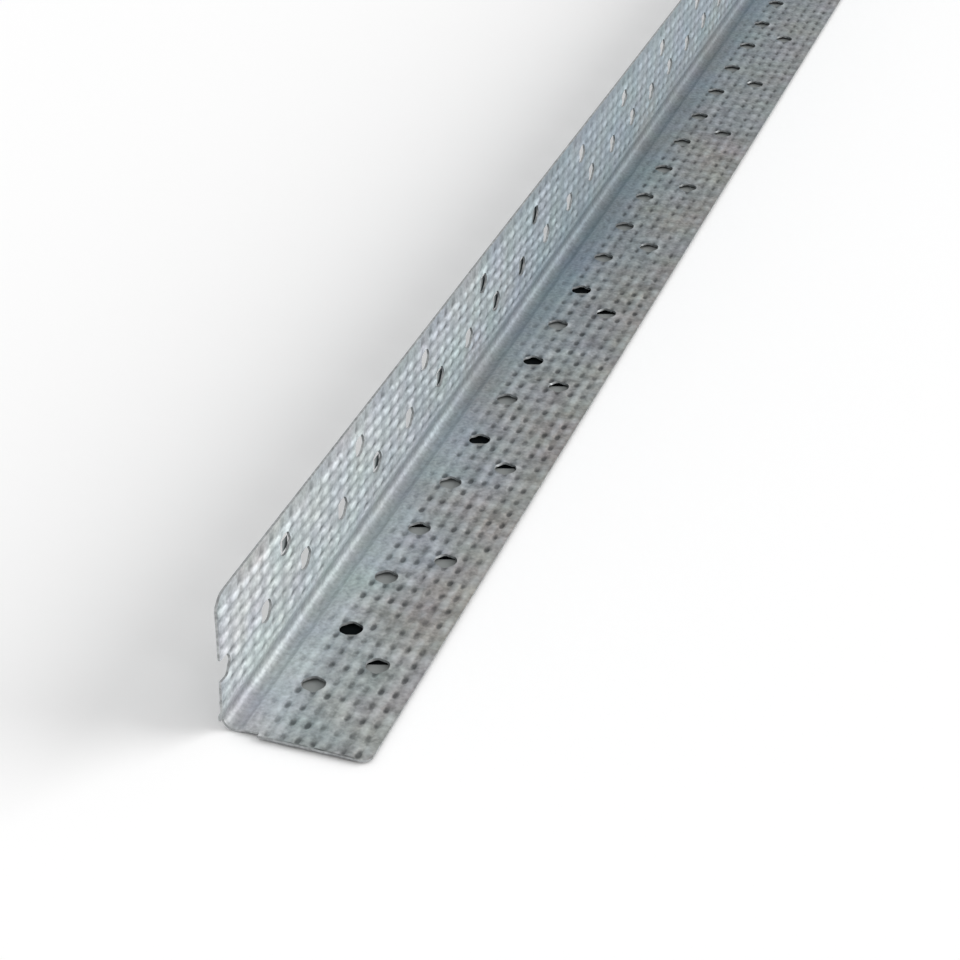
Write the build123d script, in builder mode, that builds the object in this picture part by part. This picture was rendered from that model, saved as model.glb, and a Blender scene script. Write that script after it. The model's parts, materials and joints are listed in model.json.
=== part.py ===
"""Drywall corner bead: one length of roll-formed galvanised steel, lying on one of its two flanges.

X runs along the bead, with the near cut end at +X. The lying flange reaches towards +Y and the
standing flange rises along +Z. The origin is at the middle of the bead's box, on the floor.
"""

import os
from math import atan2, ceil, degrees, sqrt

from build123d import *

# Driving dimensions, in millimetres
length = 2400.0
sheet = 0.5
flange_reach = 30.0  # from the inner corner, where the inner faces would meet, to the free edge

nose_radius = 2.75  # middle of the sheet, round the bead at the corner
nose_proud = 0.5  # how far the bead stands out from the flanges' outer faces
neck_radius = 1.5  # middle of the sheet, where a flange runs into the bead

hole_diameter = 5.0
inner_row_pitch = 20.0
outer_row_pitch = 40.0
row_gap = 9.6  # between the inner and the outer row of a flange
lying_row_from_corner = 10.8
standing_row_from_corner = 13.3
lying_first_hole = 19.0  # from the near end to the inner row's first hole
standing_first_hole = 21.5
outer_row_lag = 10.0  # how much later the outer row starts
open_hole = 2.0  # the standing flange's hole that the cut end runs through

round_inner_holes = 4  # in each inner row, counted from the near end
round_outer_holes = 2
plain_hole_sides = 8

standing_corner_radius = 3.0  # the free corners at the near end are worn round
lying_corner_radius = 2.0
bead_short = 1.0  # at each end the shears leave the bead this much shorter than the flanges
bead_short_lying = 7.0  # how far that reaches from the inner corner along each flange
bead_short_standing = 1.5

# Where the inner corner lies, so that the box is centred in Y and stands on Z = 0
corner_y = (sheet + nose_proud - flange_reach) / 2
corner_z = sheet + nose_proud
near_x = length / 2

# The bead's centre, and the centre of the arc that leads a flange into it
nose_centre = nose_radius - sheet / 2 - nose_proud
neck_out = -sheet / 2 - neck_radius
neck_up = nose_centre + sqrt((nose_radius + neck_radius) ** 2 - (nose_centre - neck_out) ** 2)
neck_turn = degrees(atan2(neck_up - nose_centre, nose_centre - neck_out))

bisector = Plane(origin=(0, 0, 0), x_dir=(1, 1, 0), z_dir=(1, -1, 0))
corner = Vector(0, corner_y, corner_z)
section_plane = Plane(origin=corner - Vector(near_x, 0, 0), x_dir=(0, 1, 0), z_dir=(1, 0, 0))
near_plane = section_plane.offset(length)
lying_plane = Plane(origin=near_plane.origin, x_dir=(-1, 0, 0), z_dir=(0, 0, -1))
standing_plane = Plane(origin=near_plane.origin - Vector(0, sheet, 0), x_dir=(-1, 0, 0), z_dir=(0, 1, 0))


def sheet_face(inwards):
    """One face of the sheet, this far inside its middle: flange, neck and half the bead, mirrored."""
    face_at = inwards - sheet / 2
    with BuildLine() as line:
        Line((face_at, flange_reach), (face_at, neck_up))
        CenterArc((neck_out, neck_up), neck_radius + inwards, 0, -neck_turn)
        CenterArc((nose_centre, nose_centre), nose_radius - inwards, 180 - neck_turn, 45 + neck_turn)
        mirror(about=bisector)
    return line.line


def hole_centres(first, pitch, across):
    """Places of one row's holes on a flange: distance from the near end, distance from the corner."""
    count = ceil((length - hole_diameter / 2 - first) / pitch)
    return [(first + i * pitch, across) for i in range(count)]


def punch(plane, first_hole, row_from_corner):
    """Both rows of holes of one flange. The first ones are round, the many others have flat sides."""
    inner = hole_centres(first_hole, inner_row_pitch, row_from_corner)
    outer = hole_centres(first_hole + outer_row_lag, outer_row_pitch, row_from_corner + row_gap)
    with BuildSketch(plane) as holes:
        with Locations(*inner[:round_inner_holes], *outer[:round_outer_holes]):
            Circle(hole_diameter / 2)
        with Locations(*inner[round_inner_holes:], *outer[round_outer_holes:]):
            RegularPolygon(hole_diameter / 2, plain_hole_sides)
    extrude(holes.sketch, amount=sheet, clean=False, mode=Mode.SUBTRACT)


def near_corner(flange_end):
    """The free corner of a flange at the near end: the edge across the sheet that lies furthest out."""
    across = Axis.Y if flange_end == Axis.Z else Axis.Z
    return corner_bead.edges().filter_by(across).group_by(Axis.X)[-1].sort_by(flange_end)[-1]


with BuildPart() as corner_bead:
    # The section: two flanges and the round bead between them, rolled from one strip
    with BuildSketch(section_plane):
        with BuildLine():
            add(sheet_face(sheet / 2))
            add(sheet_face(-sheet / 2))
            Line((0, flange_reach), (-sheet, flange_reach))
            Line((flange_reach, 0), (flange_reach, -sheet))
        make_face()
    extrude(amount=length)

    # The ends: the near free corners are worn, and the shears left the bead itself short
    fillet(near_corner(Axis.Y), lying_corner_radius)
    fillet(near_corner(Axis.Z), standing_corner_radius)
    with BuildSketch(near_plane, section_plane):
        with Locations((-corner_z, -corner_z)):
            Rectangle(
                corner_z + bead_short_lying,
                corner_z + bead_short_standing,
                align=(Align.MIN, Align.MIN),
            )
    extrude(amount=bead_short, both=True, mode=Mode.SUBTRACT)

    # The hole that the near end runs through, whose mouth is as wide as the hole
    with BuildSketch(standing_plane):
        with Locations((0, standing_row_from_corner)):
            SlotCenterToCenter(2 * open_hole, hole_diameter)
    extrude(amount=sheet, mode=Mode.SUBTRACT)

    # The punched holes
    punch(lying_plane, lying_first_hole, lying_row_from_corner)
    punch(standing_plane, standing_first_hole, standing_row_from_corner)

corner_bead.part.label = "corner_bead"

os.makedirs("parts", exist_ok=True)
export_step(corner_bead.part, "parts/corner_bead.step")
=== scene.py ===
import bmesh
import bpy
import json
from math import atan2, cos, degrees, hypot, radians, sin, sqrt
from mathutils import Matrix, Vector
from mathutils.geometry import delaunay_2d_cdt


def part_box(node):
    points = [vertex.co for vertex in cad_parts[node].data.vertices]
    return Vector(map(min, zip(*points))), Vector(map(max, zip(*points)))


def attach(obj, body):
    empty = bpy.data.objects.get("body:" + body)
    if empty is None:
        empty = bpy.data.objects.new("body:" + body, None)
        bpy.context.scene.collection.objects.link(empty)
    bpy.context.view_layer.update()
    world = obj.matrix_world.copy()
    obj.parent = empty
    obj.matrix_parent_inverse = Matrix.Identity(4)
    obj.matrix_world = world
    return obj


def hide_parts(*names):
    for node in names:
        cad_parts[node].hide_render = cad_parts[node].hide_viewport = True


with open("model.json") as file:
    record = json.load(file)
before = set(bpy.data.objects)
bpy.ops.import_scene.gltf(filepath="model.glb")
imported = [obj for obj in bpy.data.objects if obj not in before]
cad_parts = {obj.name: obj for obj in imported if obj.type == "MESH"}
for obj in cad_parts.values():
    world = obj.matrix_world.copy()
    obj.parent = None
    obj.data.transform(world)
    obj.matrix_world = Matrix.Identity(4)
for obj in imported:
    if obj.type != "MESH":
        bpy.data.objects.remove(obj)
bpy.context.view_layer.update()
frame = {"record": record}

# The two flanges. Each is a flat stretch of galvanised strip, 30 mm wide, pressed all over with rows
# of oblong dimples that key the filler, and then punched with two rows of round nail holes. The
# shears that cut the bead to length run through one of the standing flange's holes.
mm = 0.001
mounts = {mount["name"]: mount for mount in frame["record"]["mounts"]}
box_low, box_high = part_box("corner_bead")
near_x = box_high.x / mm
length = (box_high.x - box_low.x) / mm
inner_y = mounts["standing_flange_inner_face"]["pos_m"][1] / mm
inner_z = mounts["lying_flange_inner_face"]["pos_m"][2] / mm
reach = box_high.z / mm - inner_z  # from the inner corner to the free edge
sheet = 0.5
neck_start = 4.0  # where the flange turns into the bead, from the inner corner
hole_radius = mounts["lying_inner_holes_1"]["dims"]["hole_r_mm"]
inner_pitch = mounts["lying_inner_holes_1"]["dims"]["spacing_x_mm"]
outer_pitch = mounts["lying_outer_holes"]["dims"]["spacing_x_mm"]
hole_sides = 24
open_hole = 2.0  # the near end runs this far in front of the open hole's middle
bead_short = 1.0
bead_short_lying = 7.0
lying_corner = 2.0
standing_corner = 3.0
corner_steps = 6
corner_reach = 5.0  # how far the ends' outlines go into the flange

dimple_pitch = 5.0
row_pitch = 3.1
crest_half_width = 1.15
pit_half_length, pit_half_width = 1.6, 0.9
pit_depth = 0.25
crest_top = 0.1  # a crest's flat middle, as a share of its size squared
neck_fade = 0.8  # how soon the pressing begins beyond the neck
faint = 0.4  # how strongly the lying flange is pressed close to the bead
faint_fade = 1.0  # to each side of where the full pressing begins
drift_most = 0.9  # the dimples' places stray over this much in all
light_press, hard_press = 0.35, 1.2  # the press rolls press unevenly, between these
uneven_low, uneven_high = 0.35, 0.65  # where on its noise
drift_noise, uneven_noise, sway_noise = (25.0, 1.0), (4.0, 2.0), (110.0, 1.0)  # width, detail
rim_lip = 0.12  # the punch draws the edge of a hole up a little
rim_width = 0.8
wave = 0.2  # how far the free edge strays from straight

# The flat stretches' grid: its columns as shares of a pitch from a dimple's middle, and its rows
fine_steps = (-0.5, -0.4, -0.3, -0.2, -0.1, 0.0, 0.1, 0.2, 0.3, 0.4)
coarse_steps = (-0.5, -0.34, -0.12, 0.12, 0.34)
fine_rows, coarse_rows = 8, 4  # to each row of dimples
rows_before, rows_after = 2, 10  # rows of dimples looked at, from the first one
near_tiles = 5  # stretches of one outer pitch in the finely meshed piece
long_tiles = 27  # and in each of the others
clearance = 0.22  # between a grid point and a cut edge
hair = 1e-6
in_hole = 0.98  # of a hole's radius: a face whose middle is inside that is punched out
merge_gap = 0.01
sharp_angle = 50

# Hot-dip zinc: a dull blue-grey metal with a faint spangle. Handling leaves it warmer in patches and
# towards the free edge. The pits are darkened, as dirt and as painted shade, and the crests of the
# dimples are lightened, as rubbing and as a painted highlight. Beyond the smooth band by the bead the
# lying flange is darkened in clots, as dust and as painted shade for the lesser light on it. Along the
# bead the zinc is painted darker and bluer from near the near end on, as painted shade for light that
# falls off along the bead; less so on the dusty part of the lying flange.
zinc_cool = "#B9BEC0"
zinc_warm = "#BCB9B5"
# The next two colours darken pits and the bead's groove, as dirt and painted shade, and lighten crests, as
# rubbing and painted highlight
zinc_grime_and_shade = "#2B2F31"
zinc_rubbed_and_highlight = "#E8EDEE"
zinc_painted_falloff = "#C9D1D7"  # painted shade: multiplies the others, the more the further along the bead
patch_width, mottle_width, spangle_width, clot_width, grain_width = 40.0, 12.0, 5.0, 2.5, 0.9
grain_depth = 0.05
dust_from, dust_full = 7.0, 12.0  # from the inner corner
# Painted shade for light that falls off along the bead: the zinc is darker and bluer from the first
# distance from the near end to the second, and only this share of it on the dusty part of the lying flange
falloff_start, falloff_full, falloff_under_dust = 20.0, 210.0, 0.35
noise_most = (0.3, 0.7)  # nearly all of a noise lies between these
# Ranges: what goes in between the first two numbers comes out between the last two. Those of two
# numbers say only what comes out.
warm_range = (0.4, 0.65, 0.0, 1.0)
edge_warmth = (-4 * mm, 14 * mm, -0.1, 0.12)
# The next two ranges turn the attribute into darkening, as dirt and painted shade, and lightening, as
# rubbing and painted highlight
grime_and_shade_range = (-0.05, -0.9, 0.0, 0.65)
rubbed_and_highlight_range = (0.1, 1.0, 0.0, 0.72)
spangle_tones = (0.93, 1.07)
grain_tones = (0.8, 1.15)
dust_and_shade_tones = (0.56, 0.95)
mottle_tones = (0.97, 1.03)
zinc_roughness = (0.56, 0.68)

# The cut edges: bare steel, torn rough by the shears and the punch, and duller than the zinc
cut_grey = "#B4B7B8"
tear_tones = (0.6, 1.15)
cut_roughness = 0.5


def linear(hex_colour):
    """An sRGB hex colour as the linear RGBA that a socket takes."""
    parts = [int(hex_colour[i : i + 2], 16) / 255 for i in (1, 3, 5)]
    return [c / 12.92 if c <= 0.04045 else ((c + 0.055) / 1.055) ** 2.4 for c in parts] + [1.0]


def node(tree, kind, inputs=(), **settings):
    """Adds a node, sets its settings, and fills its inputs, in order or by name, with values or links.

    Another node among the inputs stands for its first output.
    """
    new = tree.nodes.new(kind)
    for name, value in settings.items():
        setattr(new, name, value)
    for key, value in inputs.items() if isinstance(inputs, dict) else enumerate(inputs):
        if isinstance(value, bpy.types.Node):
            value = value.outputs[0]
        if isinstance(value, bpy.types.NodeSocket):
            tree.links.new(value, new.inputs[key])
        else:
            new.inputs[key].default_value = value
    return new


def new_material(name):
    """A material with its node tree and its shader."""
    material = bpy.data.materials.new(name)
    material.use_nodes = True
    return material, material.node_tree, material.node_tree.nodes["Principled BSDF"]


def zinc():
    """The strip's finish: patterns on Object coordinates, dirt with painted shade and rubbing with painted
    highlights from an attribute, and painted shade along the bead.
    """
    material, tree, shader = new_material("hot_dip_galvanised_steel")
    place = node(tree, "ShaderNodeTexCoord").outputs["Object"]
    along, across, _ = node(tree, "ShaderNodeSeparateXYZ", [place]).outputs
    wear = node(tree, "ShaderNodeAttribute", attribute_name="wear").outputs["Fac"]
    spangle = node(tree, "ShaderNodeTexVoronoi", {"Vector": place, "Scale": 1 / (spangle_width * mm)})
    patches, mottle, clots, grain = [
        node(tree, "ShaderNodeTexNoise", {"Vector": place, "Scale": 1 / (width * mm), "Detail": detail})
        for width, detail in (
            (patch_width, 4.0), (mottle_width, 3.0), (clot_width, 3.0), (grain_width, 3.0)
        )
    ]

    edge = node(tree, "ShaderNodeMapRange", (across, *edge_warmth))
    warm = node(tree, "ShaderNodeMath", (patches, edge), operation="ADD")
    warm = node(tree, "ShaderNodeMapRange", (warm, *warm_range))
    tone = node(tree, "ShaderNodeMapRange", (spangle.outputs["Color"], 0.0, 1.0, *spangle_tones))
    specks = node(tree, "ShaderNodeMapRange", (grain, *noise_most, *grain_tones))
    grime_and_shade = node(tree, "ShaderNodeMapRange", (wear, *grime_and_shade_range))
    rubbed_and_highlight = node(tree, "ShaderNodeMapRange", (wear, *rubbed_and_highlight_range))
    # Dust and painted shade: the lying flange beyond the band by the bead is darkened in clots
    clots = node(tree, "ShaderNodeMapRange", (clots, *noise_most, *dust_and_shade_tones))
    dusty = ((inner_y + dust_from) * mm, (inner_y + dust_full) * mm)
    dust_and_shade = node(tree, "ShaderNodeMapRange", (across, *dusty, 1.0, clots))
    # Painted shade: darker and bluer further along the bead, less on the dusty part of the lying flange
    falloff_most = node(tree, "ShaderNodeMapRange", (across, *dusty, 1.0, falloff_under_dust))
    far = ((near_x - falloff_start) * mm, (near_x - falloff_full) * mm)
    falloff = node(tree, "ShaderNodeMapRange", (along, *far, 0.0, falloff_most))
    limits = {7 + i: (limit,) * 3 for i, limit in enumerate(noise_most + mottle_tones)}
    tint = node(tree, "ShaderNodeMapRange", {6: mottle.outputs["Color"], **limits},
                data_type="FLOAT_VECTOR")

    colour = linear(zinc_cool)
    for share, other, blend in (
        (warm, linear(zinc_warm), "MIX"),
        (1.0, tone, "MULTIPLY"),
        (1.0, specks, "MULTIPLY"),
        (grime_and_shade, linear(zinc_grime_and_shade), "MIX"),
        (rubbed_and_highlight, linear(zinc_rubbed_and_highlight), "MIX"),
        (falloff, linear(zinc_painted_falloff), "MULTIPLY"),
        (1.0, dust_and_shade, "MULTIPLY"),
        (1.0, tint.outputs["Vector"], "MULTIPLY"),
    ):
        colour = node(tree, "ShaderNodeMix", {0: share, 6: colour, 7: other},
                      data_type="RGBA", blend_type=blend).outputs[2]
    roughness = node(tree, "ShaderNodeMapRange", (patches, *noise_most, *zinc_roughness))
    bump = node(tree, "ShaderNodeBump", {"Height": grain.outputs["Fac"], "Distance": grain_depth * mm,
                                         "Strength": 1.0})
    tree.links.new(colour, shader.inputs["Base Color"])
    tree.links.new(roughness.outputs[0], shader.inputs["Roughness"])
    tree.links.new(bump.outputs[0], shader.inputs["Normal"])
    shader.inputs["Metallic"].default_value = 1.0
    return material


def sheared_steel():
    """The finish of the cut edges."""
    material, tree, shader = new_material("sheared_steel_edge")
    place = node(tree, "ShaderNodeTexCoord").outputs["Object"]
    tears = node(tree, "ShaderNodeTexNoise",
                 {"Vector": place, "Scale": 1 / (grain_width * mm), "Detail": 4.0})
    tone = node(tree, "ShaderNodeMapRange", (tears, *noise_most, *tear_tones))
    colour = node(tree, "ShaderNodeMix", {0: 1.0, 6: linear(cut_grey), 7: tone},
                  data_type="RGBA", blend_type="MULTIPLY")
    tree.links.new(colour.outputs[2], shader.inputs["Base Color"])
    shader.inputs["Metallic"].default_value = 1.0
    shader.inputs["Roughness"].default_value = cut_roughness
    return material


galvanised = zinc()
sheared = sheared_steel()


def arc(centre, radius, start, end, steps):
    """Points of an arc, its ends included, between two angles in degrees."""
    turns = [radians(start + (end - start) * i / steps) for i in range(steps + 1)]
    return [(centre[0] + radius * cos(a), centre[1] + radius * sin(a)) for a in turns]


def hole_row(name, standing):
    """A stated pair of holes: how far its first hole is from the near end, and from the inner corner."""
    x, y, z = [at / mm for at in mounts[name]["pos_m"]]
    s = near_x - (x + mounts[name]["dims"]["spacing_x_mm"] / 2)
    return s, z - inner_z if standing else y - inner_y


def inside(point, outline):
    """True if the point is inside the closed outline."""
    within = False
    for (ax, ay), (bx, by) in zip(outline, outline[1:] + outline[:1]):
        if (ay > point[1]) != (by > point[1]) and point[0] < ax + (bx - ax) * (point[1] - ay) / (by - ay):
            within = not within
    return within


def off_edges(point, outline):
    """True if the point keeps clear of every edge of the outline."""
    p = Vector(point)
    for a, b in zip(outline, outline[1:] + outline[:1]):
        edge = Vector(b) - Vector(a)
        t = max(0.0, min(1.0, (p - Vector(a)).dot(edge) / edge.length_squared))
        if (p - Vector(a) - edge * t).length < clearance:
            return False
    return True


def cut_flat(name, outline, holes, columns, rows):
    """A flat stretch of strip: the near end's distance along -X, the corner's distance along +Y."""
    circles = [arc(hole, hole_radius, 0, 360 * (1 - 1 / hole_sides), hole_sides - 1) for hole in holes]
    points, edges = [], []
    for loop in [outline] + circles:
        first = len(points)
        points += loop
        edges += [(first + i, first + (i + 1) % len(loop)) for i in range(len(loop))]
    low_s, high_s = min(p[0] for p in outline), max(p[0] for p in outline)
    for s in columns:
        if not low_s + clearance < s < high_s - clearance:
            continue
        close = [hole for hole in holes if abs(s - hole[0]) < hole_radius + clearance]
        at_end = s < corner_reach or s > length - corner_reach
        for w in rows[1:-1]:
            if any(hypot(s - h[0], w - h[1]) < hole_radius + clearance for h in close):
                continue
            if at_end and not (inside((s, w), outline) and off_edges((s, w), outline)):
                continue
            points.append((s, w))
    vertices, _, faces, _, _, _ = delaunay_2d_cdt([Vector(p) for p in points], edges, [], 0, hair)
    kept = []
    for face in faces:
        middle = sum((vertices[i] for i in face), Vector((0, 0))) / len(face)
        punched = any(hypot(middle.x - h[0], middle.y - h[1]) < hole_radius * in_hole for h in holes)
        if not punched and inside(middle, outline):
            kept.append(tuple(reversed(face)))
    mesh = bpy.data.meshes.new(name)
    mesh.from_pydata([(-v.x * mm, v.y * mm, 0) for v in vertices], [], kept)
    rim = mesh.attributes.new("rim", "FLOAT", "POINT")
    gaps = [min([rim_width] + [hypot(v.x - h[0], v.y - h[1]) - hole_radius for h in holes])
            for v in vertices]
    rim.data.foreach_set("value", [1 - min(max(gap, 0) / rim_width, 1) for gap in gaps])
    return mesh


def lattice(start, end, first, steps):
    """Distances from the near end of the grid's columns between start and end."""
    low, high = int((start - first) / dimple_pitch) - 2, int((end - first) / dimple_pitch) + 2
    places = [first + (k + 0.5 + step) * dimple_pitch for k in range(low, high) for step in steps]
    return [s for s in places if start + hair < s < end - hair]


def across_rows(pressing, per_row):
    """Distances from the corner of the grid's rows: neck, pressed band, plain edge strip."""
    band = [pressing["First row"] + i * row_pitch / per_row
            for i in range(-rows_before * per_row, rows_after * per_row)]
    band = [w for w in band if neck_start + clearance < w < pressing["Pressed to"]]
    return [neck_start] + band + [reach]


def press_tree():
    """Geometry Nodes that repeat a flat stretch along the strip and press the dimples into it."""
    tree = bpy.data.node_groups.new("press_dimples", "GeometryNodeTree")
    sizes = ("Spacing", "First dimple", "Dimple pitch", "First row", "Row pitch", "Full from",
             "Pressed to", "Crest half length", "Crest height", "Crest shine", "Pit depth", "Pit grime",
             "Rim lip", "Wave")
    sockets = [("Geometry", "Geometry"), ("Copies", "Int")] + [(size, "Float") for size in sizes]
    for name, kind in sockets + [("Material", "Material")]:
        tree.interface.new_socket(name, in_out="INPUT", socket_type="NodeSocket" + kind)
    tree.interface.new_socket("Geometry", in_out="OUTPUT", socket_type="NodeSocketGeometry")
    given = node(tree, "NodeGroupInput").outputs

    back = node(tree, "ShaderNodeMath", (given["Spacing"], -1.0), operation="MULTIPLY")
    step = node(tree, "ShaderNodeCombineXYZ", [back])
    line = node(tree, "GeometryNodeMeshLine", {"Count": given["Copies"], "Offset": step})
    copies = node(tree, "GeometryNodeInstanceOnPoints", {"Points": line, "Instance": given["Geometry"]})
    real = node(tree, "GeometryNodeRealizeInstances", [copies])
    strip = node(tree, "GeometryNodeMergeByDistance", {"Geometry": real, "Distance": merge_gap * mm})

    # Where a point is in its dimple, from its middle and in pitches, with the drift of a worn press roll
    place = node(tree, "GeometryNodeInputPosition")
    drift, uneven, sway = [
        node(tree, "ShaderNodeTexNoise", {"Vector": place, "Scale": 1 / (width * mm), "Detail": detail})
        for width, detail in (drift_noise, uneven_noise, sway_noise)
    ]
    stray = node(tree, "ShaderNodeMath", (drift, 0.5), operation="SUBTRACT")
    stray = node(tree, "ShaderNodeMath", (stray, drift_most * mm), operation="MULTIPLY")
    stray = node(tree, "ShaderNodeCombineXYZ", [stray])
    first = node(tree, "ShaderNodeCombineXYZ", (given["First dimple"], given["First row"]))
    pitch = node(tree, "ShaderNodeCombineXYZ", (given["Dimple pitch"], given["Row pitch"], 1.0))
    from_middle = place
    for operation, other in (
        ("MULTIPLY", (-1.0, 1.0, 0.0)),
        ("SUBTRACT", first),
        ("ADD", stray),
        ("DIVIDE", pitch),
        ("ADD", (0.0, 0.5, 0.0)),
        ("FRACTION", (0.0, 0.0, 0.0)),
        ("SUBTRACT", (0.5, 0.5, 0.0)),
    ):
        from_middle = node(tree, "ShaderNodeVectorMath", (from_middle, other), operation=operation)
    from_pit = node(tree, "ShaderNodeVectorMath", [from_middle], operation="ABSOLUTE")
    from_pit = node(tree, "ShaderNodeVectorMath", ((0.5, 0.5, 0.0), from_pit), operation="SUBTRACT")

    # How hard it is pressed there: not at the neck or the edge, faintly by the bead, and never evenly
    across = node(tree, "ShaderNodeSeparateXYZ", [place]).outputs["Y"]
    past = node(tree, "ShaderNodeMath", (across, given["Full from"]), operation="SUBTRACT")
    force = node(tree, "ShaderNodeMath", (across, given["Pressed to"]), operation="LESS_THAN")
    for value, *limits in (
        (across, neck_start * mm, (neck_start + neck_fade) * mm, 0.0, 1.0),
        (past, -faint_fade * mm, faint_fade * mm, faint, 1.0),
        (uneven, uneven_low, uneven_high, light_press, hard_press),
    ):
        share = node(tree, "ShaderNodeMapRange", (value, *limits), interpolation_type="SMOOTHSTEP")
        force = node(tree, "ShaderNodeMath", (force, share), operation="MULTIPLY")

    # The crest in the dimple's middle, and the pit at its corners, each an oval
    crest_half = node(tree, "ShaderNodeCombineXYZ",
                      (given["Crest half length"], crest_half_width * mm, 1.0))
    pit_half = (pit_half_length * mm, pit_half_width * mm, 1.0)
    marks = []
    for at, half, top in ((from_middle, crest_half, crest_top), (from_pit, pit_half, 0.0)):
        at = node(tree, "ShaderNodeVectorMath", (at, pitch), operation="MULTIPLY")
        at = node(tree, "ShaderNodeVectorMath", (at, half), operation="DIVIDE")
        size = node(tree, "ShaderNodeVectorMath", (at, at), operation="DOT_PRODUCT").outputs["Value"]
        mark = node(tree, "ShaderNodeMapRange", (size, 1.0, top, 0.0, 1.0),
                    interpolation_type="SMOOTHSTEP")
        marks.append(node(tree, "ShaderNodeMath", (mark, force), operation="MULTIPLY"))
    crest, pit = marks

    # The free edge sways, the more the further it is from the neck, and the holes have lips
    lever = node(tree, "ShaderNodeMath", (across, neck_start * mm), operation="SUBTRACT")
    lever = node(tree, "ShaderNodeMath", (lever, (reach - neck_start) * mm), operation="DIVIDE")
    lever = node(tree, "ShaderNodeMath", (lever, lever), operation="MULTIPLY")
    sway = node(tree, "ShaderNodeMath", (sway, 0.5), operation="SUBTRACT")
    sway = node(tree, "ShaderNodeMath", (sway, lever), operation="MULTIPLY")
    rim = node(tree, "GeometryNodeInputNamedAttribute", {"Name": "rim"}, data_type="FLOAT")
    rim = node(tree, "ShaderNodeMath", (rim, rim), operation="MULTIPLY")

    # Together they give how much a point is lightened (+), as rubbing and painted highlight, or darkened
    # (-), as dirt and painted shade, and the height of the sheet
    sums = {"wear": 0.0, "rise": 0.0}
    for result, operation, share, size in (
        ("wear", "ADD", crest, "Crest shine"),
        ("wear", "SUBTRACT", pit, "Pit grime"),
        ("rise", "ADD", sway, "Wave"),
        ("rise", "ADD", crest, "Crest height"),
        ("rise", "SUBTRACT", pit, "Pit depth"),
        ("rise", "ADD", rim, "Rim lip"),
    ):
        part = node(tree, "ShaderNodeMath", (share, given[size]), operation="MULTIPLY")
        sums[result] = node(tree, "ShaderNodeMath", (sums[result], part), operation=operation)
    marked = node(tree, "GeometryNodeStoreNamedAttribute",
                  {"Geometry": strip, "Name": "wear", "Value": sums["wear"]}, data_type="FLOAT")
    lift = node(tree, "ShaderNodeCombineXYZ", {"Z": sums["rise"]})
    shaped = node(tree, "GeometryNodeSetPosition", {"Geometry": marked, "Offset": lift})
    done = node(tree, "GeometryNodeSetMaterial", {"Geometry": shaped, "Material": given["Material"]})
    node(tree, "NodeGroupOutput", [done])
    return tree


press = press_tree()


def plain_mesh(source):
    """The evaluated shape of an object as a mesh of its own; the object itself is deleted."""
    evaluated = source.evaluated_get(bpy.context.evaluated_depsgraph_get())
    mesh = bpy.data.meshes.new_from_object(evaluated, preserve_all_data_layers=True,
                                           depsgraph=bpy.context.evaluated_depsgraph_get())
    bpy.data.objects.remove(source)
    return mesh


def pressed_strip(flat, copies, pressing):
    """A flat stretch, repeated along the strip and pressed."""
    source = bpy.data.objects.new(flat.name, flat)
    bpy.context.collection.objects.link(source)
    modifier = source.modifiers.new("press", "NODES")
    modifier.node_group = press
    values = {"Spacing": outer_pitch, "Dimple pitch": dimple_pitch, "Row pitch": row_pitch,
              "Pit depth": pit_depth, "Rim lip": rim_lip, "Wave": 2 * wave, **pressing}
    values = {name: value * mm for name, value in values.items()}
    values.update({name: pressing[name] for name in ("Crest shine", "Pit grime")})
    values.update({"Copies": copies, "Material": galvanised})
    for item in press.interface.items_tree:
        if item.name in values:
            modifier[item.identifier] = values[item.name]
    return plain_mesh(source)


def flange_place(standing):
    """Strip coordinates to the model's: across is +Y on the lying flange and +Z on the standing one."""
    across, out = ((0, 0, 1), (0, 1, 0)) if standing else ((0, 1, 0), (0, 0, 1))
    turn = Matrix(((1, 0, 0), across, out)).transposed().to_4x4()
    return Matrix.Translation((near_x * mm, inner_y * mm, inner_z * mm)) @ turn


def finish_piece(name, meshes, place, thick=True):
    """Joins stretches, puts them in place, gives them the sheet's thickness and makes them a piece.

    The thickness leans with the dimples, so it is cut off level where the sheet ends.
    """
    build = bmesh.new()
    for mesh in meshes:
        build.from_mesh(mesh)
    bmesh.ops.remove_doubles(build, verts=build.verts, dist=merge_gap * mm)
    build.transform(place)
    if place.determinant() < 0:
        bmesh.ops.reverse_faces(build, faces=build.faces)
    joined = bpy.data.meshes.new(name)
    build.to_mesh(joined)
    build.free()
    joined.materials.clear()
    joined.materials.append(galvanised)
    joined.materials.append(sheared)
    source = bpy.data.objects.new(name, joined)
    bpy.context.collection.objects.link(source)
    if thick:
        wall = source.modifiers.new("thickness", "SOLIDIFY")
        wall.thickness = sheet * mm
        wall.offset = -1.0
        wall.material_offset_rim = 1
    mesh = plain_mesh(source)
    for vertex in mesh.vertices:
        vertex.co = [min(max(c, low), high) for c, low, high in zip(vertex.co, box_low, box_high)]
    mesh.polygons.foreach_set("use_smooth", [True] * len(mesh.polygons))
    mesh.set_sharp_from_angle(angle=radians(sharp_angle))
    mesh.name = name
    piece = bpy.data.objects.new(name, mesh)
    bpy.context.collection.objects.link(piece)
    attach(piece, "root")
    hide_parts("corner_bead")


def whole_holes(rows, start, end):
    """The whole holes between two distances from the near end."""
    found = []
    for (first, across), pitch in rows:
        k = 0
        while first + k * pitch < min(end, length - hole_radius):
            if first + k * pitch > start:
                found.append((first + k * pitch, across))
            k += 1
    return found


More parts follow.
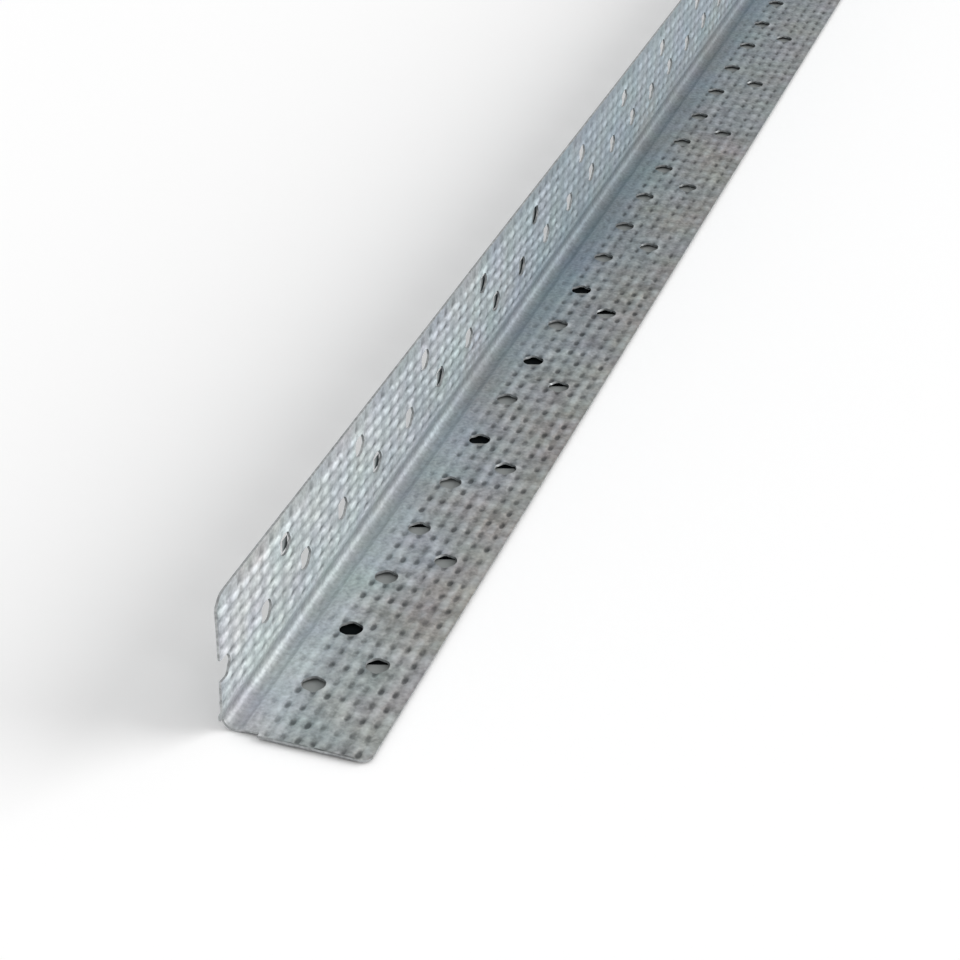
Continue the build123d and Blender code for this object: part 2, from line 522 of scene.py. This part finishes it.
def flange(name, rows, near_path, far_path, standing, pressing):
    """One flange in three pieces: the near one finely meshed, the others from one repeated stretch."""
    place = flange_place(standing)
    near_end = rows[0][0][0] - inner_pitch / 2 + near_tiles * outer_pitch
    middle_end = near_end + long_tiles * outer_pitch
    far_end = middle_end + long_tiles * outer_pitch
    fine, coarse = across_rows(pressing, fine_rows), across_rows(pressing, coarse_rows)

    columns = lattice(0, near_end, pressing["First dimple"], fine_steps)
    kept = [s for s in columns if s > corner_reach]
    outline = near_path + [(s, reach) for s in kept] + [(near_end, w) for w in reversed(fine)]
    outline += [(s, neck_start) for s in reversed(kept)]
    flat = cut_flat(name + "_near", outline, whole_holes(rows, 0, near_end), columns, fine)
    finish_piece(name + "_near", [pressed_strip(flat, 1, pressing)], place)

    def stretch(start, end, end_path, copies):
        columns = lattice(start, end, pressing["First dimple"], coarse_steps)
        kept = [s for s in columns if not end_path or s < length - corner_reach]
        outline = [(start, w) for w in coarse] + [(s, reach) for s in kept]
        outline += end_path or [(end, w) for w in reversed(coarse)]
        outline += [(s, neck_start) for s in reversed(kept)]
        flat = cut_flat(name, outline, whole_holes(rows, start, end), columns, coarse)
        return pressed_strip(flat, copies, pressing)

    middle = stretch(near_end, near_end + outer_pitch, None, long_tiles)
    finish_piece(name + "_middle", [middle], place)
    far = stretch(middle_end, middle_end + outer_pitch, None, long_tiles)
    finish_piece(name + "_far", [far, stretch(far_end, length, far_path, 1)], place)


lying_rows = [(hole_row("lying_inner_holes_1", False), inner_pitch),
              (hole_row("lying_outer_holes", False), outer_pitch)]
lying_neck = [(bead_short, neck_start), (bead_short, bead_short_lying), (0, bead_short_lying)]
lying_near = lying_neck + arc((lying_corner, reach - lying_corner), lying_corner, 180, 90, corner_steps)
lying_far = [(length, reach)] + [(length - s, w) for s, w in reversed(lying_neck)]
# The crests' lightening is partly a painted highlight, and the pits' darkening partly painted shade
lying_pressing = {"First dimple": 1.35, "First row": 7.05, "Full from": 7.0, "Pressed to": 29.2,
                  "Crest half length": 3.6, "Crest height": 0.12, "Crest shine": 0.6, "Pit grime": 1.0}
flange("lying_flange", lying_rows, lying_near, lying_far, False, lying_pressing)

standing_rows = [(hole_row("standing_inner_holes_1", True), inner_pitch),
                 (hole_row("standing_outer_holes", True), outer_pitch)]
open_w = standing_rows[0][0][1]
standing_near = [(0, neck_start), (0, open_w - hole_radius)]
standing_near += arc((open_hole, open_w), hole_radius, -90, 90, corner_steps * 2)
standing_near += [(0, open_w + hole_radius)]
standing_near += arc((standing_corner, reach - standing_corner), standing_corner, 180, 90, corner_steps)
standing_far = [(length, reach), (length, neck_start)]
standing_pressing = {"First dimple": 0.35, "First row": 4.0, "Full from": 0.0, "Pressed to": 28.0,
                     "Crest half length": 2.5, "Crest height": 0.16, "Crest shine": 1.0, "Pit grime": 0.6}
flange("standing_flange", standing_rows, standing_near, standing_far, True, standing_pressing)

# The bead itself. Along the corner the strip is rolled into a smooth round nose that stands a little
# proud of both flanges, so that the trowel runs on it. It is not pressed, and the shears leave its lower
# part short at both ends. Its groove is painted darker, as dirt and as painted shade, and a line on its
# lying side by the neck is painted lighter, as rubbing and as a painted highlight.
nose_radius = 2.75
nose_proud = 0.5
neck_radius = 1.5
nose_centre = nose_radius - sheet / 2 - nose_proud
neck_out = -sheet / 2 - neck_radius
neck_up = nose_centre + sqrt((nose_radius + neck_radius) ** 2 - (nose_centre - neck_out) ** 2)
neck_turn = degrees(atan2(neck_up - nose_centre, nose_centre - neck_out))
short_from = 190.5  # the angle on the nose below which the shears took the bead away
neck_steps = 5
upper_steps = 6
lower_steps = 6
stations = 25  # sections along the whole length
nose_merge_gap = 0.001
# How much the inside is lightened (+), as rubbing and painted highlight, or darkened (-), as dirt and
# painted shade, by how far it is from the standing to the lying side
bead_wear_and_painted_light = ((-4.0, 0.0), (-3.3, -0.2), (-2.7, -0.4), (-1.9, -0.6), (-1.3, -0.6), (-0.6, -0.5),
             (-0.1, -0.6), (0.4, -0.7), (0.9, -0.55), (1.5, -0.45), (2.5, -0.15), (3.2, 0.25),
             (3.6, 0.35), (4.0, 0.0))


def nose_line(inwards):
    """One face of the rolled corner, from the standing flange's neck to the lying flange's."""
    centre = (nose_centre, nose_centre)
    half = arc((neck_out, neck_up), neck_radius + inwards, 0, -neck_turn, neck_steps)
    half += arc(centre, nose_radius - inwards, 180 - neck_turn, short_from, upper_steps)[1:]
    half += arc(centre, nose_radius - inwards, short_from, 225, lower_steps)
    return half + [(w, out) for out, w in reversed(half[:-1])]


def from_table(table, x):
    """The table's value at x, along straight lines between its rows."""
    for (x0, y0), (x1, y1) in zip(table, table[1:]):
        if x <= x1:
            return y0 + (y1 - y0) * (max(x, x0) - x0) / (x1 - x0)
    return table[-1][1]


def rolled_bead():
    """The rolled corner: its closed section carried along the strip, and shorter below."""
    inner, outer = nose_line(sheet / 2), nose_line(-sheet / 2)
    count = len(inner)
    full = neck_steps + upper_steps + 1  # points of a face that reach the flanges' ends
    build = bmesh.new()
    wear = build.verts.layers.float.new("wear")
    rings = []
    for i in range(stations):
        ring = []
        for line in (inner, outer):
            for j, (y, z) in enumerate(line):
                short = 0 if j < full else bead_short
                s = min(max(length * i / (stations - 1), short), length - short)
                vertex = build.verts.new((-s * mm, y * mm, z * mm))
                vertex[wear] = from_table(bead_wear_and_painted_light, y - z) if line is inner else 0.0
                ring.append(vertex)
        rings.append(ring)
    around = list(range(count)) + [count + j for j in reversed(range(count))]
    for a, b in zip(rings, rings[1:]):
        for i, j in zip(around, around[1:] + around[:1]):
            build.faces.new((a[i], a[j], b[j], b[i]))
    for ring in (rings[0], rings[-1]):
        for j in range(count - 1):
            build.faces.new((ring[j], ring[j + 1], ring[count + j + 1], ring[count + j]))
    bmesh.ops.remove_doubles(build, verts=build.verts, dist=nose_merge_gap * mm)
    bmesh.ops.recalc_face_normals(build, faces=build.faces)
    mesh = bpy.data.meshes.new("rounded_bead")
    build.to_mesh(mesh)
    build.free()
    return mesh


bead_place = Matrix.Translation((near_x * mm, inner_y * mm, inner_z * mm))
finish_piece("rounded_bead", [rolled_bead()], bead_place, thick=False)

# The floor. A pale studio floor that runs on past the picture. A grey sheet lies hidden under the lying
# flange as painted shade, seen through its holes. Black patches on it are painted shadows in part of the
# nearest holes, and small grey cards close behind the standing flange are painted shade in some of its
# holes.
floor_white = "#FDFDFD"
painted_shade_grey = "#8E9190"
painted_shadow_black = "#121516"
painted_shade_card_grey = "#808586"
floor_half = 60000.0
floor_height, mat_height, patch_height = -0.05, 0.01, 0.02
mat_inset = 1.5
seen_through = (1.2, -0.4)  # the camera sees this much further under a hole: along the bead, across it
patch_along = (0.945, -0.326)  # away from the camera, along the bead and across it
patch_high, patch_half = 3.2, 3.0
# Where each painted shadow begins, from its hole's middle, nearest hole first
inner_shadows = (-1.9, 0.8, -1.2, -1.2, -1.0)
outer_shadows = (0.5, 0.9, 0.5, 0.7, 0.3)
# Half of each card's width, by its hole's number from the near end
inner_cards = {3: 1.3, 5: 1.7, 7: 1.7, 8: 1.9}
outer_cards = {0: 1.3, 3: 1.8, 4: 2.1}
card_gap = 0.3
camera_from_corner = (332.8, 162.1, 284.5)


def painted(name, colour):
    """Flat paint with no gloss."""
    material, _, shader = new_material(name)
    shader.inputs["Base Color"].default_value = linear(colour)
    shader.inputs["Roughness"].default_value = 1.0
    shader.inputs["Specular IOR Level"].default_value = 0.0
    return material


def panels(name, quads, material):
    """Flat four-cornered patches as one object of the stage. Their corners are in millimetres."""
    mesh = bpy.data.meshes.new(name)
    corners = [Vector(corner) * mm for quad in quads for corner in quad]
    mesh.from_pydata(corners, [], [tuple(range(4 * i, 4 * i + 4)) for i in range(len(quads))])
    mesh.materials.append(material)
    thing = bpy.data.objects.new(name, mesh)
    bpy.context.collection.objects.link(thing)


def rectangle(low_x, low_y, high_x, high_y, z):
    """A level patch."""
    return [(low_x, low_y, z), (high_x, low_y, z), (high_x, high_y, z), (low_x, high_y, z)]


def hole_shadow(s, w, low):
    """The painted shadow under one hole: its near edge runs level across the picture."""
    s, w = s + seen_through[0], w + seen_through[1]
    corners = []
    for away, side in ((low, -1), (low, 1), (patch_high, 1), (patch_high, -1)):
        at_s = s + patch_along[0] * away - patch_along[1] * side * patch_half
        at_w = w + patch_along[1] * away + patch_along[0] * side * patch_half
        corners.append((near_x - at_s, inner_y + at_w, patch_height))
    return corners


def hole_shade_card(s, w, half):
    """The upright card of painted shade that the camera sees as a small square in a hole of the standing
    flange.
    """
    share = (sheet + card_gap) / camera_from_corner[1]
    corners = []
    for side, up in ((-half, -half), (half, -half), (half, half), (-half, half)):
        hole = (-s - side, 0.0, w + up)
        x, y, z = [h + (h - c) * share for h, c in zip(hole, camera_from_corner)]
        corners.append((near_x + x, inner_y + y, inner_z + z))
    return corners


panels("floor", [rectangle(-floor_half, -floor_half, floor_half, floor_half, floor_height)],
       painted("studio_floor", floor_white))
# Painted shade under the lying flange, seen through its holes
under_flange = rectangle(near_x - length + mat_inset, inner_y + neck_start,
                         near_x - mat_inset, inner_y + reach - mat_inset, mat_height)
panels("grey_mat", [under_flange], painted("grey_mat", painted_shade_grey))
(inner_s, inner_w), (outer_s, outer_w) = lying_rows[0][0], lying_rows[1][0]
# Painted shadows in part of the nearest holes of the lying flange
patches = [hole_shadow(inner_s + inner_pitch + i * outer_pitch, inner_w, low)
           for i, low in enumerate(inner_shadows)]
patches += [hole_shadow(outer_s + i * outer_pitch, outer_w, low) for i, low in enumerate(outer_shadows)]
panels("dark_under_holes", patches, painted("dark_patch", painted_shadow_black))
# Painted shade seen through some holes of the standing flange
cards = [hole_shade_card(s + i * pitch, w, half)
         for ((s, w), pitch), halves in zip(standing_rows, (inner_cards, outer_cards))
         for i, half in halves.items()]
panels("cards_behind_holes", cards, painted("dark_card", painted_shade_card_grey))

# The light. A broad soft key comes from low on the right, beyond the bead, and an even pale room
# lights the rest.
room_white = "#FFFFFF"
room_strength = 0.74
key_direction = (0.5, -0.78, -0.32)
key_strength = 2.7
key_spread = 50

world = bpy.data.worlds.new("studio")
bpy.context.scene.world = world
world.use_nodes = True
room = world.node_tree.nodes["Background"]
room.inputs["Color"].default_value = linear(room_white)
room.inputs["Strength"].default_value = room_strength
lamp = bpy.data.lights.new("key", "SUN")
lamp.energy = key_strength
lamp.angle = radians(key_spread)
key = bpy.data.objects.new("key", lamp)
key.rotation_euler = Vector(key_direction).to_track_quat("-Z", "Y").to_euler()
bpy.context.collection.objects.link(key)

# The camera stands where the photograph was taken from, above the near end and looking down along
# the bead.
look = (-0.80610, -0.26948, -0.52685)
camera_roll = 1.066
focal_pixels = 2412
frame_pixels = 960
sensor = 36.0

lens = bpy.data.cameras.new("camera")
lens.sensor_width = sensor
lens.lens = focal_pixels / frame_pixels * sensor
camera = bpy.data.objects.new("camera", lens)
bpy.context.collection.objects.link(camera)
bpy.context.scene.camera = camera
turn = Vector(look).to_track_quat("-Z", "Y").to_matrix().to_4x4()
place = Vector((near_x, inner_y, inner_z)) + Vector(camera_from_corner)
camera.matrix_world = Matrix.Translation(place * mm) @ turn @ Matrix.Rotation(radians(camera_roll), 4, "Z")

bpy.context.scene.view_settings.view_transform = "Standard"
